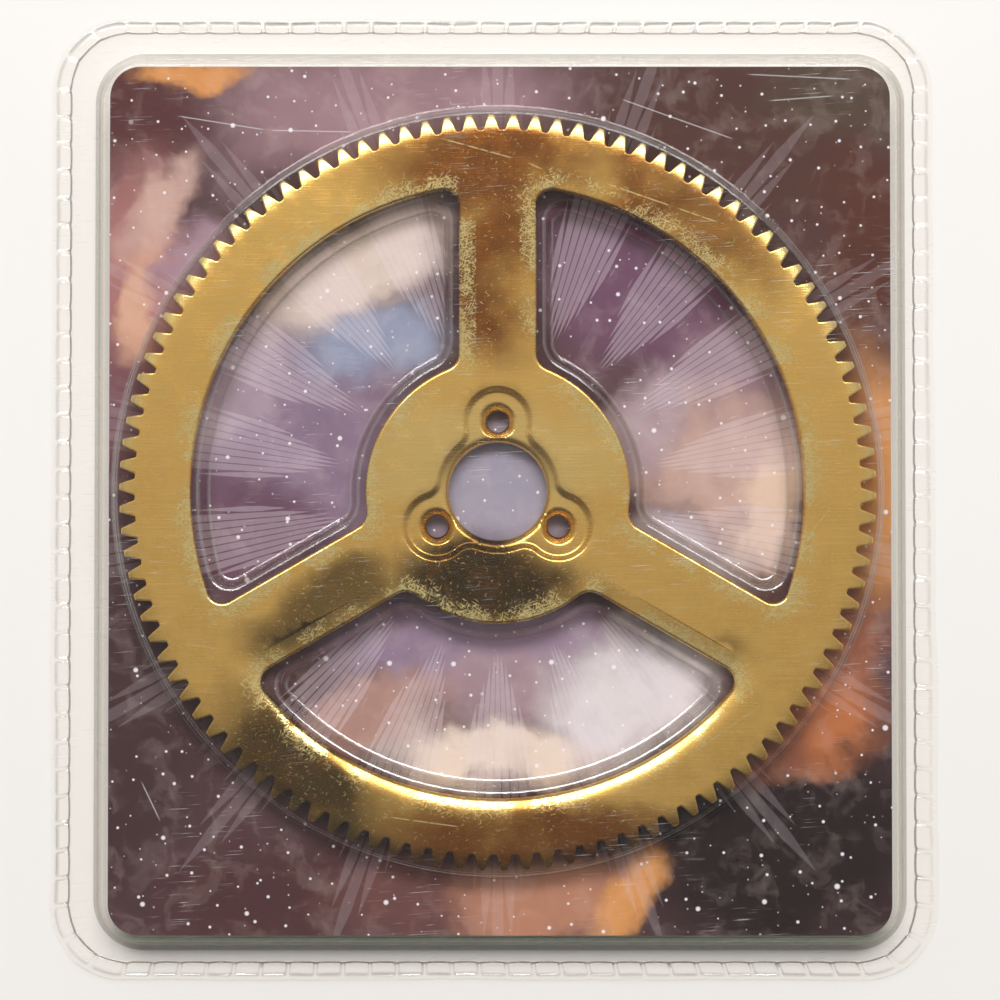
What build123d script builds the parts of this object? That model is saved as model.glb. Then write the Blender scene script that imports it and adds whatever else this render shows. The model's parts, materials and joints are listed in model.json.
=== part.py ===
from build123d import *
import os
from math import acos, cos, pi, radians, sin, tan

# A spoked brass spur gear, sealed with a printed card between two clear blister
# shells. Millimetres. The origin is on the axis of the gear's bore, in the plane of
# its back face, which lies on the card. +Z points out through the front shell and
# +Y towards the top edge of the card.

# Spur gear
module = 0.8
tooth_count = 106
pressure_angle = 20.0
gear_thickness = 3.0
first_tooth_angle = 90.99
root_corner_radius = 0.2
rim_roll_width = 2.2
rim_roll_drop = 0.45
back_rim_chamfer = 0.2

pitch_radius = module * tooth_count / 2
tip_radius = pitch_radius + module
root_radius = pitch_radius - 1.25 * module
base_radius = pitch_radius * cos(radians(pressure_angle))

# Three windows between three spokes, the first spoke pointing along +Y
spoke_count = 3
first_spoke_angle = 90.0
spoke_half_width = 4.45
window_outer_radius = 35.0
hub_radius = 15.1
window_rim_corner_radius = 1.7
window_hub_corner_radius = 2.0
window_front_round = 1.0
window_back_round = 0.3

# Hub: bore, countersunk screw holes and the shallow three-lobed recess round them
bore_radius = 5.6
bore_front_round = 0.9
screw_circle_radius = 8.0
screw_hole_radius = 1.25
countersink_radius = 2.05
countersink_angle = 90.0
countersink_lip_round = 0.4
recess_depth = 0.5
recess_centre_radius = 6.9
recess_lobe_radius = 3.8
recess_blend_radius = 2.0
recess_edge_round = 0.3

# Printed card
card_width = 90.0
card_height = 100.0
card_thickness = 0.5
card_corner_radius = 3.5
card_centre = (0.26, -0.9)

# Both clear shells are formed from the same sheet
sheet = 0.3
rest_gap = 0.05
bend_radius = 0.5

# Front shell: a tray over the card, a low dome over the gear, and one pocket that
# dips into each window of the gear
tray_clearance = 0.4
tray_draft = 18.0
flange_underside = -4.5
tray_corner_radius = 4.0
dome_radius = 43.5
dome_draft = 8.0
dome_gap = 0.2
pocket_floor_inset = 1.4
pocket_draft = 10.0
pocket_rim_corner_radius = 1.6
pocket_hub_corner_radius = 2.4

# Rear shell: a plain tray that nests inside the front one and backs the card
nest_gap = 0.15
flange_gap = 0.02

# Sealing flange, and the row of crimps pressed into it all round
flange_width = 103.6
flange_height = 112.4
flange_corner_radius = 8.5
flange_centre = (-0.4, -0.55)
crimp_centre = (-0.67, -0.4)
crimp_line_width = 100.0
crimp_line_height = 110.0
crimp_corner_radius = 7.5
crimp_pitch = 3.19
crimp_gap = 0.45
crimp_width = 1.9
crimp_depth = 0.12
crimp_end_radius = 0.35
crimps_per_corner = 3

# Lengths closer than this count as equal when edges are picked
tolerance = 0.001

# Levels worked out from the sizes above
plateau_underside = rest_gap
dome_underside = gear_thickness + dome_gap
rear_plateau_top = -card_thickness - rest_gap
rear_flange_top = flange_underside - flange_gap
rear_flange_underside = rear_flange_top - sheet
tray_rise = plateau_underside - flange_underside
tray_spread = tray_rise * tan(radians(tray_draft))
tray_base_width = card_width + 2 * (tray_clearance + tray_spread)
tray_base_height = card_height + 2 * (tray_clearance + tray_spread)
tray_base_corner = tray_corner_radius + tray_spread
recess_reach = screw_circle_radius + recess_lobe_radius
dome_base_radius = dome_radius + (dome_underside - plateau_underside) * tan(radians(dome_draft))


def polar_point(radius, angle):
    """Point at a radius and an angle in radians."""
    return (radius * cos(angle), radius * sin(angle))


def involute(angle):
    return tan(angle) - angle


def space_half_angle(radius):
    """Half the angle of the space between two teeth, at a radius."""
    flank_angle = acos(base_radius / radius)
    tooth_half_angle = (
        pi / (2 * tooth_count) + involute(radians(pressure_angle)) - involute(flank_angle)
    )
    return pi / tooth_count - tooth_half_angle


def level_edges(part, level):
    """Edges of a part that lie flat at a height."""
    return part.edges().filter_by_position(Axis.Z, level - tolerance, level + tolerance)


def middle_distance(edge):
    """Distance of an edge's middle from the gear's axis, seen from the front."""
    middle = edge.position_at(0.5)
    return Vector(middle.X, middle.Y).length


def window_sketch(plane, inset, rim_corner, hub_corner):
    """The three windows on a plane, all edges moved inwards by an inset."""
    with BuildSketch(plane) as windows:
        Circle(window_outer_radius - inset)
        Circle(hub_radius + inset, mode=Mode.SUBTRACT)
        with PolarLocations(window_outer_radius / 2, spoke_count, first_spoke_angle):
            Rectangle(window_outer_radius, 2 * (spoke_half_width + inset), mode=Mode.SUBTRACT)
        for radius, corner_radius in (
            (window_outer_radius - inset, rim_corner),
            (hub_radius + inset, hub_corner),
        ):
            corners = windows.vertices().filter_by(
                lambda corner: abs(Vector(corner.X, corner.Y).length - radius) < tolerance
            )
            fillet(corners, radius=corner_radius)
    return windows.sketch


# Tooth space, centred on +X: two flanks, the root arc with rounded corners, and a
# mouth that passes the tip circle
mouth_radius = tip_radius + back_rim_chamfer
middle_radius = (root_radius + mouth_radius) / 2
root_half_angle = space_half_angle(root_radius)
mouth_half_angle = space_half_angle(mouth_radius)
middle_half_angle = space_half_angle(middle_radius)
with BuildSketch() as tooth_space:
    with BuildLine():
        ThreePointArc(
            polar_point(root_radius, root_half_angle),
            polar_point(middle_radius, middle_half_angle),
            polar_point(mouth_radius, mouth_half_angle),
        )
        Line(
            polar_point(mouth_radius, mouth_half_angle),
            polar_point(mouth_radius, -mouth_half_angle),
        )
        ThreePointArc(
            polar_point(mouth_radius, -mouth_half_angle),
            polar_point(middle_radius, -middle_half_angle),
            polar_point(root_radius, -root_half_angle),
        )
        ThreePointArc(
            polar_point(root_radius, -root_half_angle),
            polar_point(root_radius, 0),
            polar_point(root_radius, root_half_angle),
        )
    make_face()
    fillet(tooth_space.vertices().group_by(Axis.X)[0], radius=root_corner_radius)

# Gear wheel
with BuildPart() as gear_wheel:
    # Blank turned from one profile: flat faces, a bore rounded up to the floor of the
    # recess, and a rim whose front rolls away towards the tooth tips
    roll_start = tip_radius - rim_roll_width
    recess_floor = gear_thickness - recess_depth
    bore_wall_end = recess_floor - bore_front_round
    bore_mouth_radius = bore_radius + bore_front_round
    with BuildSketch(Plane.XZ):
        with BuildLine():
            Polyline(
                (bore_radius, bore_wall_end),
                (bore_radius, 0),
                (tip_radius - back_rim_chamfer, 0),
                (tip_radius, back_rim_chamfer),
                (tip_radius, gear_thickness - rim_roll_drop),
            )
            TangentArc(
                (roll_start, gear_thickness),
                (tip_radius, gear_thickness - rim_roll_drop),
                tangent=(1, 0),
            )
            Polyline(
                (roll_start, gear_thickness),
                (bore_mouth_radius, gear_thickness),
                (bore_mouth_radius, recess_floor),
            )
            RadiusArc(
                (bore_mouth_radius, recess_floor),
                (bore_radius, bore_wall_end),
                -bore_front_round,
            )
        make_face()
    revolve(axis=Axis.Z)

    # Windows, with a full round on the front edge and a light one on the back
    add(window_sketch(Plane.XY, 0, window_rim_corner_radius, window_hub_corner_radius))
    extrude(amount=gear_thickness, mode=Mode.SUBTRACT)
    for level, edge_round in ((gear_thickness, window_front_round), (0, window_back_round)):
        window_edges = level_edges(gear_wheel, level).filter_by(
            lambda edge: recess_reach < middle_distance(edge) < roll_start - tolerance
        )
        fillet(window_edges, radius=edge_round)

    # Three-lobed recess
    with BuildSketch(Plane.XY.offset(gear_thickness)) as recess:
        Circle(recess_centre_radius)
        with PolarLocations(screw_circle_radius, spoke_count, first_spoke_angle):
            Circle(recess_lobe_radius)
        fillet(recess.vertices(), radius=recess_blend_radius)
    extrude(amount=-recess_depth, mode=Mode.SUBTRACT)
    recess_edges = level_edges(gear_wheel, gear_thickness).filter_by(
        lambda edge: middle_distance(edge) < recess_reach + tolerance
    )
    fillet(recess_edges, radius=recess_edge_round)

    # Countersunk screw holes with a softened edge
    with Locations(Plane.XY.offset(recess_floor)):
        with PolarLocations(screw_circle_radius, spoke_count, first_spoke_angle):
            CounterSinkHole(screw_hole_radius, countersink_radius, gear_thickness, countersink_angle)
    sink_edges = level_edges(gear_wheel, recess_floor).filter_by(
        lambda edge: edge.geom_type == GeomType.CIRCLE
        and abs(edge.radius - countersink_radius) < tolerance
    )
    fillet(sink_edges, radius=countersink_lip_round)

    # Teeth
    with BuildSketch():
        with PolarLocations(0, tooth_count, first_tooth_angle + 180 / tooth_count):
            add(tooth_space.sketch)
    extrude(amount=gear_thickness, mode=Mode.SUBTRACT)

# Backing card, flat against the back of the gear
with BuildPart() as backing_card:
    with BuildSketch(Plane.XY.offset(-card_thickness)):
        with Locations(card_centre):
            RectangleRounded(card_width, card_height, card_corner_radius)
    extrude(amount=card_thickness)


def formed_tray(bottom, top, grow):
    """Sloping rounded block from one level to another, its sides moved out by grow."""
    spread = (bottom - flange_underside) * tan(radians(tray_draft))
    with BuildPart() as tray:
        with BuildSketch(Plane.XY.offset(bottom)):
            with Locations(card_centre):
                RectangleRounded(
                    tray_base_width + 2 * (grow - spread),
                    tray_base_height + 2 * (grow - spread),
                    tray_base_corner + grow - spread,
                )
        extrude(amount=top - bottom, taper=tray_draft)
    return tray.part


def flange_plate(underside):
    """Rounded plate that the shells are sealed along."""
    with BuildPart() as plate:
        with BuildSketch(Plane.XY.offset(underside)):
            with Locations(flange_centre):
                RectangleRounded(flange_width, flange_height, flange_corner_radius)
        extrude(amount=sheet)
    return plate.part


def front_form(skin, outward_bend, inward_bend):
    """Block under the front sheet, or with skin set to the sheet, up to its top side."""
    plateau = plateau_underside + skin
    dome_top = dome_underside + skin
    with BuildPart() as form:
        add(formed_tray(flange_underside, plateau, skin))
        fillet(level_edges(form, plateau), radius=outward_bend)
        with Locations((0, 0, plateau)):
            Cone(
                dome_base_radius + skin,
                dome_radius + skin,
                dome_top - plateau,
                align=(Align.CENTER, Align.CENTER, Align.MIN),
            )
        dome_foot = level_edges(form, plateau).group_by(SortBy.LENGTH)[-1]
        fillet(dome_foot, radius=inward_bend)
        pockets = window_sketch(
            Plane.XY.offset(plateau),
            pocket_floor_inset + skin,
            pocket_rim_corner_radius,
            pocket_hub_corner_radius,
        )
        add(pockets)
        extrude(amount=dome_top - plateau, taper=-pocket_draft, mode=Mode.SUBTRACT)
        fillet(level_edges(form, dome_top), radius=outward_bend)
        pocket_floors = level_edges(form, plateau).filter_by(
            lambda edge: middle_distance(edge) < window_outer_radius
        )
        fillet(pocket_floors, radius=inward_bend)
    return form.part


def rear_form(top, grow, bend):
    """Plain tray block for the rear sheet's front or back side."""
    with BuildPart() as form:
        add(formed_tray(rear_flange_underside, top, grow))
        fillet(level_edges(form, top), radius=bend)
    return form.part


def crimp_row(plane):
    """Sketch of the crimps all round: four straight rows and a fan at each corner."""
    straight_width = crimp_line_width - 2 * crimp_corner_radius
    straight_height = crimp_line_height - 2 * crimp_corner_radius
    across = round(straight_width / crimp_pitch)
    along = round(straight_height / crimp_pitch)
    crimp_length = crimp_pitch - crimp_gap
    corner_step = 90 / crimps_per_corner
    with BuildSketch(plane) as crimps:
        with Locations(crimp_centre):
            with GridLocations(0, crimp_line_height, 1, 2):
                with GridLocations(straight_width / across, 0, across, 1):
                    RectangleRounded(crimp_length, crimp_width, crimp_end_radius)
            with GridLocations(crimp_line_width, 0, 2, 1):
                with GridLocations(0, straight_height / along, 1, along):
                    RectangleRounded(crimp_width, crimp_length, crimp_end_radius)
            for side_x, side_y, turn in ((1, 1, 0), (-1, 1, 90), (-1, -1, 180), (1, -1, 270)):
                with Locations((side_x * straight_width / 2, side_y * straight_height / 2)):
                    first = turn + corner_step / 2
                    with PolarLocations(crimp_corner_radius, crimps_per_corner, first, 90):
                        RectangleRounded(crimp_width, crimp_length, crimp_end_radius)
    return crimps.sketch


# Front shell, with the crimps pressed into the front of its flange
with BuildPart() as front_blister:
    add(front_form(sheet, bend_radius + sheet, bend_radius))
    add(flange_plate(flange_underside))
    add(front_form(0, bend_radius, bend_radius + sheet), mode=Mode.SUBTRACT)
    add(crimp_row(Plane.XY.offset(flange_underside + sheet)))
    extrude(amount=-crimp_depth, mode=Mode.SUBTRACT)

# Rear shell, with the same crimps on the back of its flange
with BuildPart() as rear_blister:
    add(rear_form(rear_plateau_top, -nest_gap, bend_radius + sheet))
    add(flange_plate(rear_flange_underside))
    add(rear_form(rear_plateau_top - sheet, -nest_gap - sheet, bend_radius), mode=Mode.SUBTRACT)
    add(crimp_row(Plane.XY.offset(rear_flange_underside)))
    extrude(amount=crimp_depth, mode=Mode.SUBTRACT)

os.makedirs("parts", exist_ok=True)
for name, piece in (
    ("gear_wheel", gear_wheel),
    ("front_blister", front_blister),
    ("rear_blister", rear_blister),
    ("backing_card", backing_card),
):
    piece.part.label = name
    export_step(piece.part, f"parts/{name}.step")
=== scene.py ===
import json
from functools import reduce
from math import acos, atan2, ceil, cos, hypot, pi, radians, sin, sqrt, tan

import bpy
import numpy as np
from mathutils import Matrix, Vector, noise
from mathutils.geometry import delaunay_2d_cdt


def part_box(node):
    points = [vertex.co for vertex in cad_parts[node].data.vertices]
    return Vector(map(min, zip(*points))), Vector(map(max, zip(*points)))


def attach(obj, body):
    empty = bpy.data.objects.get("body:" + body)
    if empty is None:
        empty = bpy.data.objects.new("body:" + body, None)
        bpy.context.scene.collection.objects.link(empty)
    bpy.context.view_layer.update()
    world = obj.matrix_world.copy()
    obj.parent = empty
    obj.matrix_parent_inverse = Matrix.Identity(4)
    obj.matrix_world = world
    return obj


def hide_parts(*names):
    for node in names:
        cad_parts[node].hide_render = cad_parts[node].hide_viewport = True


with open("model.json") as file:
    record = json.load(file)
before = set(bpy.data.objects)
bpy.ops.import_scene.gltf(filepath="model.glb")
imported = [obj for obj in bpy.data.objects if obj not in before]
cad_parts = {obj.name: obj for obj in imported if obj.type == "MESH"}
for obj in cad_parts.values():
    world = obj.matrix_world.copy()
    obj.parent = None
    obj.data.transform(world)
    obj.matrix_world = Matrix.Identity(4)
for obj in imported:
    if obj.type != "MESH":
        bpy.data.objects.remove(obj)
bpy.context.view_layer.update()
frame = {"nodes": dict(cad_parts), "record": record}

# Outlines below are in millimetres; meshes are made in metres.
MM = 0.001
WHOLE_TURN = 2 * pi


# ---------------------------------------------------------------- sizes
def corners_mm(node):
    low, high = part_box(node)
    return low / MM, high / MM


def mount_dims(name):
    return next(m["dims"] for m in frame["record"]["mounts"] if m["name"] == name)


gear_low, gear_high = corners_mm("gear_wheel")
card_low, card_high = corners_mm("backing_card")
front_low, front_high = corners_mm("front_blister")
rear_low, rear_high = corners_mm("rear_blister")

GEAR_THICKNESS = gear_high.z - gear_low.z
TOOTH_COUNT = 106
TIP_RADIUS = round(gear_high.y, 1)
MODULE = 2 * TIP_RADIUS / (TOOTH_COUNT + 2)
PITCH_RADIUS = TIP_RADIUS - MODULE
ROOT_RADIUS = PITCH_RADIUS - 1.25 * MODULE
PRESSURE_ANGLE = radians(20)
BASE_RADIUS = PITCH_RADIUS * cos(PRESSURE_ANGLE)
FIRST_TOOTH = radians(90.99)
TEETH_FRONT_ROUND = 0.12
TEETH_BACK_ROUND = 0.1
FLAT_STRIP = 0.08

# The front rolls off along the teeth, and less widely above the lowest window
RIM_ROLL_WIDTH = 2.2
RIM_ROLL_DROP = 0.45
INNER_ROLL_WIDTH = 2.3
INNER_ROLL_DROP = 0.6

SPOKES = (pi / 2, pi / 2 + WHOLE_TURN / 3, pi / 2 + 2 * WHOLE_TURN / 3)
SPOKE_HALF_WIDTH = 4.45
WINDOW_RADIUS = 35.0
WINDOW_RIM_CORNER = 1.7
WINDOW_HUB_CORNER = 2.0
WINDOW_FRONT_ROUND = 0.35
WINDOW_BACK_ROUND = 0.3
WINDOW_APRON = (0.25, 0.5, 0.8, 1.2, 1.6)
HUB_RADIUS = 15.1

BORE_RADIUS = mount_dims("gear_bore")["r_mm"]
SCREW_CIRCLE_RADIUS = mount_dims("hub_screws")["pcd_mm"] / 2
SCREW_HOLE_RADIUS = mount_dims("hub_screws")["hole_r_mm"]
COUNTERSINK_RADIUS = 2.05
BORE_ROUND = 0.9
HOLE_BACK_ROUND = 0.1
RECESS_DEPTH = 0.5
RECESS_SIDE = 0.9
RECESS_SIDE_RINGS = 9
RECESS_RADIUS = 6.9
RECESS_LOBE_RADIUS = 3.8
RECESS_BLEND_RADIUS = 2.0

CARD_CENTRE = ((card_low.x + card_high.x) / 2, (card_low.y + card_high.y) / 2)
CARD_WIDTH = card_high.x - card_low.x
CARD_HEIGHT = card_high.y - card_low.y

SHEET = 0.3
FLANGE_CENTRE = ((front_low.x + front_high.x) / 2, (front_low.y + front_high.y) / 2)
FLANGE_WIDTH = front_high.x - front_low.x
FLANGE_HEIGHT = front_high.y - front_low.y
FLANGE_CORNER = 8.5
FLANGE_TOP = front_low.z + SHEET
PLATEAU_GAP = 0.05
PLATEAU_TOP = PLATEAU_GAP + SHEET
DOME_TOP = front_high.z
TRAY_CORNER = 4.0
TRAY_CLEARANCE = 0.4
TRAY_DRAFT = radians(18)
NEST_GAP = 0.15
DOME_RADIUS = 43.5
DOME_DRAFT = radians(8)
POCKET_INSET = 1.4
POCKET_RIM_CORNER = 1.6
POCKET_HUB_CORNER = 2.4
POCKET_DRAFT = radians(10)
BEND = 0.5
CRIMP_CENTRE = (-0.67, -0.4)
CRIMP_LINE_WIDTH = 100.0
CRIMP_LINE_HEIGHT = 110.0
CRIMP_CORNER = 7.5
CRIMP_WIDTH = 1.9
CRIMP_DEPTH = 0.22
CRIMPS_ACROSS = 27
CRIMPS_ALONG = 30
CRIMPS_TURN = 3
CRIMP_STEPS = 16

# Rings across the seal: the plain edge's share of the width, then shares of the rest
CRIMP_EDGE = 0.09
CRIMP_RINGS = (0, 0.1, 0.2, 0.3, 0.5, 0.7, 0.82, 0.86, 0.885, 0.91, 0.935, 0.96, 0.98, 1.0)

# Spacing of the points that let the formed flats wave, and the height of the waves
FLAT_SPACING = 3
FLAT_WAVE = 0.03


# ---------------------------------------------------------------- outlines
def smooth(share):
    """Eases from 0 to 1, and stays there outside that range."""
    share = min(1.0, max(0.0, share))
    return share * share * (3 - 2 * share)


def polar(radius, angle):
    return np.array((radius * cos(angle), radius * sin(angle)))


def arc(centre, radius, start, end, step=radians(3)):
    """Points of an arc with both ends, anticlockwise when end is past start."""
    count = max(2, ceil(abs(end - start) / step) + 1)
    return [np.array(centre) + polar(radius, a) for a in np.linspace(start, end, count)]


def turned(points, angle):
    c, s = cos(angle), sin(angle)
    return [np.array((c * x - s * y, s * x + c * y)) for x, y in points]


def circle(radius, centre=(0, 0), count=96):
    angles = np.linspace(0, WHOLE_TURN, count, endpoint=False)
    return np.array([np.array(centre) + polar(radius, a) for a in angles])


def without_repeats(points):
    kept = [points[0]]
    for point in points[1:]:
        if np.hypot(*(point - kept[-1])) > 1e-4:
            kept.append(point)
    if np.hypot(*(kept[-1] - kept[0])) < 1e-4:
        kept.pop()
    return np.array(kept)


def involute(angle):
    return tan(angle) - angle


def tooth_half_angle(radius):
    """Half the angle that a tooth takes up at a radius."""
    return pi / (2 * TOOTH_COUNT) + involute(PRESSURE_ANGLE) - involute(acos(BASE_RADIUS / radius))


def teeth_outline(inset=0.0):
    """Anticlockwise outline of all teeth, moved into the metal by inset."""
    tip = tooth_half_angle(TIP_RADIUS)
    root = tooth_half_angle(ROOT_RADIUS)
    pitch = WHOLE_TURN / TOOTH_COUNT
    tip_soft = 0.07
    root_soft = 0.2
    # One side of a tooth: radius, half angle, and how far an inset moves it sideways
    side = [
        (TIP_RADIUS, tip * 0.35, 0.2),
        (TIP_RADIUS, tip - tip_soft / TIP_RADIUS, 0.8),
        (TIP_RADIUS - 0.3 * tip_soft, tip - 0.2 * tip_soft / TIP_RADIUS, 0.9),
    ]
    flank_top = TIP_RADIUS - 1.4 * tip_soft
    flank_foot = ROOT_RADIUS + root_soft
    for radius in np.linspace(flank_top, flank_foot, 6):
        side.append((radius, tooth_half_angle(radius), 1.0))
    for turn, lift in ((0.35, 0.35), (0.75, 0.07), (1.2, 0.0)):
        angle = root + turn * 0.5 * root_soft / ROOT_RADIUS
        side.append((ROOT_RADIUS + lift * root_soft, angle, 1.0 - 0.6 * turn))
    side.append((ROOT_RADIUS, pitch / 2, 0.0))
    side = [(radius - inset, angle - share * inset / radius) for radius, angle, share in side]
    other = [(radius, -angle) for radius, angle in reversed(side[:-1])]
    points = []
    for tooth in range(TOOTH_COUNT):
        middle = FIRST_TOOTH + tooth * pitch
        points += [polar(radius, middle + angle) for radius, angle in other + side]
    return np.array(points)


def window_outline(spoke, inset, rim_corner, hub_corner):
    """Anticlockwise outline of the window that follows a spoke, its edges moved in by inset."""
    rim = WINDOW_RADIUS - inset
    hub = HUB_RADIUS + inset
    side = SPOKE_HALF_WIDTH + inset
    across = WHOLE_TURN / 3

    def corner(radius, reach):
        return np.array((sqrt(reach**2 - (side + radius) ** 2), side + radius))

    rim_middle = corner(rim_corner, rim - rim_corner)
    hub_middle = corner(hub_corner, hub + hub_corner)
    rim_turn = atan2(rim_middle[1], rim_middle[0])
    hub_turn = atan2(hub_middle[1], hub_middle[0])
    first = arc(hub_middle, hub_corner, pi + hub_turn, 1.5 * pi, radians(8))
    first += arc(rim_middle, rim_corner, -pi / 2, rim_turn, radians(8))
    rim_arc = arc((0, 0), rim, rim_turn, across - rim_turn)
    mirrored = [np.array((x, -y)) for x, y in reversed(first)]
    hub_arc = arc((0, 0), hub, across - hub_turn, hub_turn)
    loop = first + rim_arc + turned(mirrored, across) + hub_arc
    return without_repeats(turned(loop, spoke))


def recess_outline():
    """Anticlockwise three-lobed outline: a circle blended into a lobe at each screw."""
    middle_reach = RECESS_RADIUS + RECESS_BLEND_RADIUS
    lobe_reach = RECESS_LOBE_RADIUS + RECESS_BLEND_RADIUS
    blend_turn = acos(
        (SCREW_CIRCLE_RADIUS**2 + middle_reach**2 - lobe_reach**2)
        / (2 * SCREW_CIRCLE_RADIUS * middle_reach)
    )
    blend = polar(middle_reach, blend_turn)
    lobe_turn = atan2(blend[1], blend[0] - SCREW_CIRCLE_RADIUS)
    step = radians(6)
    half = arc((SCREW_CIRCLE_RADIUS, 0), RECESS_LOBE_RADIUS, 0, lobe_turn, step)
    half += arc(blend, RECESS_BLEND_RADIUS, lobe_turn - pi, blend_turn - pi, step)
    half += arc((0, 0), RECESS_RADIUS, blend_turn, pi / 3, step)
    mirrored = [np.array((x, -y)) for x, y in reversed(half)]
    return without_repeats([p for spoke in SPOKES for p in turned(mirrored + half, spoke)])


def rounded_rectangle(width, height, radius, centre, turn, across, up):
    """Anticlockwise loop from the right side; the same counts give matching points.

    The counts are the steps round a corner, along the top or bottom, and up a side."""
    half = np.array((width / 2 - radius, height / 2 - radius))
    middles = [np.array(centre) + half * sign for sign in ((1, 1), (-1, 1), (-1, -1), (1, -1))]
    points = []
    for number, middle in enumerate(middles):
        points += arc(middle, radius, number * pi / 2, (number + 1) * pi / 2, pi / 2 / turn)
        ahead = (number + 1) % 4
        start = points[-1]
        end = middles[ahead] + polar(radius, ahead * pi / 2)
        count = across if number % 2 == 0 else up
        points += [start + (end - start) * i / count for i in range(1, count)]
    return np.array(points)


def outward(points):
    """Unit normals that point out of an anticlockwise loop."""
    along = np.roll(points, -1, axis=0) - np.roll(points, 1, axis=0)
    normals = np.stack((along[:, 1], -along[:, 0]), axis=1)
    return normals / np.linalg.norm(normals, axis=1)[:, None]


# ---------------------------------------------------------------- mesh building
def add_object(name, data):
    """A new object in the scene, made from a mesh, a lamp or a camera."""
    made = bpy.data.objects.new(name, data)
    bpy.context.scene.collection.objects.link(made)
    return made


class Skin:
    """A mesh put together from rings of points, and areas between rings.

    pressed holds how far single points are lifted once the sheet has its thickness."""

    def __init__(self):
        self.points = []
        self.faces = []
        self.pressed = {}

    def ring(self, outline, height):
        """Adds a ring of points. The height is a number or a function of x and y."""
        first = len(self.points)
        for x, y in outline:
            z = height(x, y) if callable(height) else height
            self.points.append((x, y, z))
        return list(range(first, len(self.points)))

    def bridge(self, outer, inner):
        """Joins two rings with equal counts, the outside of the wall facing away."""
        count = len(outer)
        for i in range(count):
            j = (i + 1) % count
            self.faces.append((outer[i], outer[j], inner[j], inner[i]))

    def rings(self, outline, stations):
        """Joins rings moved out of an outline, one for each (offset, height) pair."""
        made = []
        for offset, height in stations:
            made.append(self.ring(outline + outward(outline) * offset, height))
            if len(made) > 1:
                self.bridge(made[-2], made[-1])
        return made

    def cap(self, rings, height, spacing=None, up=True):
        """Fills between an outer ring and the rings inside it, with points at a spacing."""
        flat = [self.points[i][:2] for ring in rings for i in ring]
        known = [i for ring in rings for i in ring]
        edges = []
        first = 0
        for ring in rings:
            count = len(ring)
            edges += [(first + i, first + (i + 1) % count) for i in range(count)]
            first += count
        loops = [np.array([self.points[i][:2] for i in ring]) for ring in rings]
        extra = inner_points(loops, spacing) if spacing else []
        points = [Vector(p) for p in flat] + [Vector(p) for p in extra]
        found, _, triangles, origins, _, _ = delaunay_2d_cdt(points, edges, [], 0, 1e-7)
        index = []
        for point, origin in zip(found, origins):
            if origin and origin[0] < len(known):
                index.append(known[origin[0]])
            else:
                z = height(point.x, point.y) if callable(height) else height
                self.points.append((point.x, point.y, z))
                index.append(len(self.points) - 1)
        centres = np.array([np.mean([found[i][:] for i in t], axis=0) for t in triangles])
        inside = within(centres, loops[0])
        for hole in loops[1:]:
            inside &= ~within(centres, hole)
        for keep, triangle in zip(inside, triangles):
            if keep:
                a, b, c = (index[i] for i in triangle)
                pa, pb, pc = (self.points[i] for i in (a, b, c))
                area = (pb[0] - pa[0]) * (pc[1] - pa[1]) - (pc[0] - pa[0]) * (pb[1] - pa[1])
                self.faces.append((a, b, c) if (area > 0) == up else (a, c, b))

    def build(self, name, thickness=0.0):
        """The finished piece. A thickness, if there is one, is added along the faces' normals."""
        mesh = bpy.data.meshes.new(name)
        points = [(x * MM, y * MM, z * MM) for x, y, z in self.points]
        mesh.from_pydata(points, [], self.faces)
        piece = add_object(name, mesh)
        if thickness:
            solidify = piece.modifiers.new("sheet", "SOLIDIFY")
            solidify.thickness = abs(thickness) * MM
            solidify.offset = 1 if thickness > 0 else -1
            layers = bpy.context.evaluated_depsgraph_get()
            piece.data = bpy.data.meshes.new_from_object(piece.evaluated_get(layers))
            piece.modifiers.clear()
            bpy.data.meshes.remove(mesh)
            piece.data.name = name
        for index, lift in self.pressed.items():
            piece.data.vertices[index].co.z += lift * MM
        piece.data.shade_smooth()
        piece.data.set_sharp_from_angle(angle=radians(50))
        return piece


def within(points, loop):
    """Which points lie inside a closed loop."""
    x, y = points[:, 0][:, None], points[:, 1][:, None]
    x0, y0 = loop[:, 0][None], loop[:, 1][None]
    x1, y1 = np.roll(x0, -1, axis=1), np.roll(y0, -1, axis=1)
    crosses = (y0 > y) != (y1 > y)
    span = np.where(y1 == y0, 1.0, y1 - y0)
    at = x0 + (y - y0) * (x1 - x0) / span
    return (crosses & (x < at)).sum(axis=1) % 2 == 1


def inner_points(loops, spacing):
    """A grid of points between the loops, kept half a step away from them."""
    low, high = loops[0].min(axis=0), loops[0].max(axis=0)
    xs = np.arange(low[0] + spacing / 2, high[0], spacing)
    ys = np.arange(low[1] + spacing / 2, high[1], spacing)
    grid = np.array([(x, y) for x in xs for y in ys])
    keep = within(grid, loops[0])
    for hole in loops[1:]:
        keep &= ~within(grid, hole)
    grid = grid[keep]
    edge = np.concatenate(loops)
    near = np.array([np.min(np.sum((edge - p) ** 2, axis=1)) for p in grid])
    return grid[near > (spacing / 2) ** 2]


def quarter_round(radius, steps, from_wall):
    """(offset, drop) pairs of an edge round, from the wall up to the flat or back."""
    turns = np.linspace(0, pi / 2, steps + 1)
    pairs = [(radius * (1 - cos(t)), radius * (1 - sin(t))) for t in turns]
    return pairs if from_wall else list(reversed(pairs))


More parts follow.
